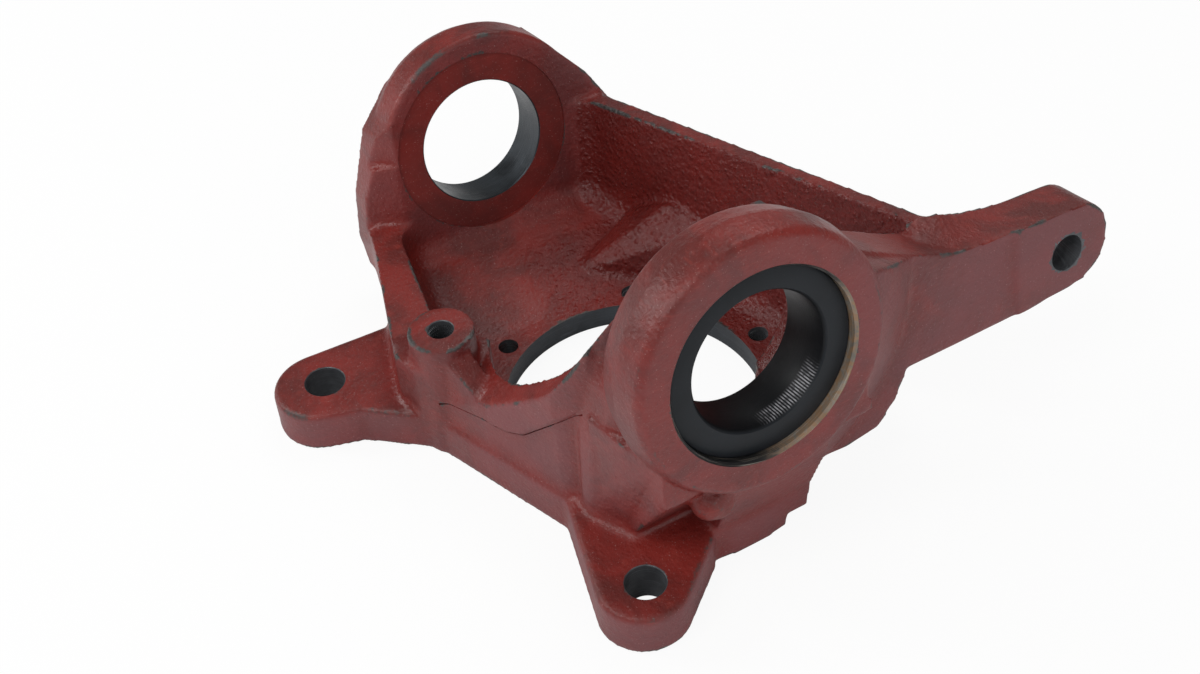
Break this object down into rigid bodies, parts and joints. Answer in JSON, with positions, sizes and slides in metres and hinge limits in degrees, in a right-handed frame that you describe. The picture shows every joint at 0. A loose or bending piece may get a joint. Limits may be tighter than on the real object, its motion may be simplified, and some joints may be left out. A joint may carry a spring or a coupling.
{
  "type": "steering knuckle",
  "caption": "Cast steering knuckle with two kingpin ears in line, a large central bore in a round flange, a steering arm with a pin hole and bolting lugs.",
  "frame": {"origin": "centre of the central bore on the flat wheel-side face", "axes": "+Z along the central bore into the knuckle, +X toward the front kingpin ear, +Y toward the end of the steering arm"},
  "size_m": [0.2801, 0.3238, 0.1615],
  "materials": {
    "red_primer": "red oxide primer brushed over rough cast iron, rubbed to bare grey along the edges",
    "black_steel": "blackened, turned, with chatter marks in the bore"
  },
  "bodies": {
    "root": {"knuckle_casting": "red_primer", "kingpin_bush": "black_steel"}
  },
  "joints": []
}
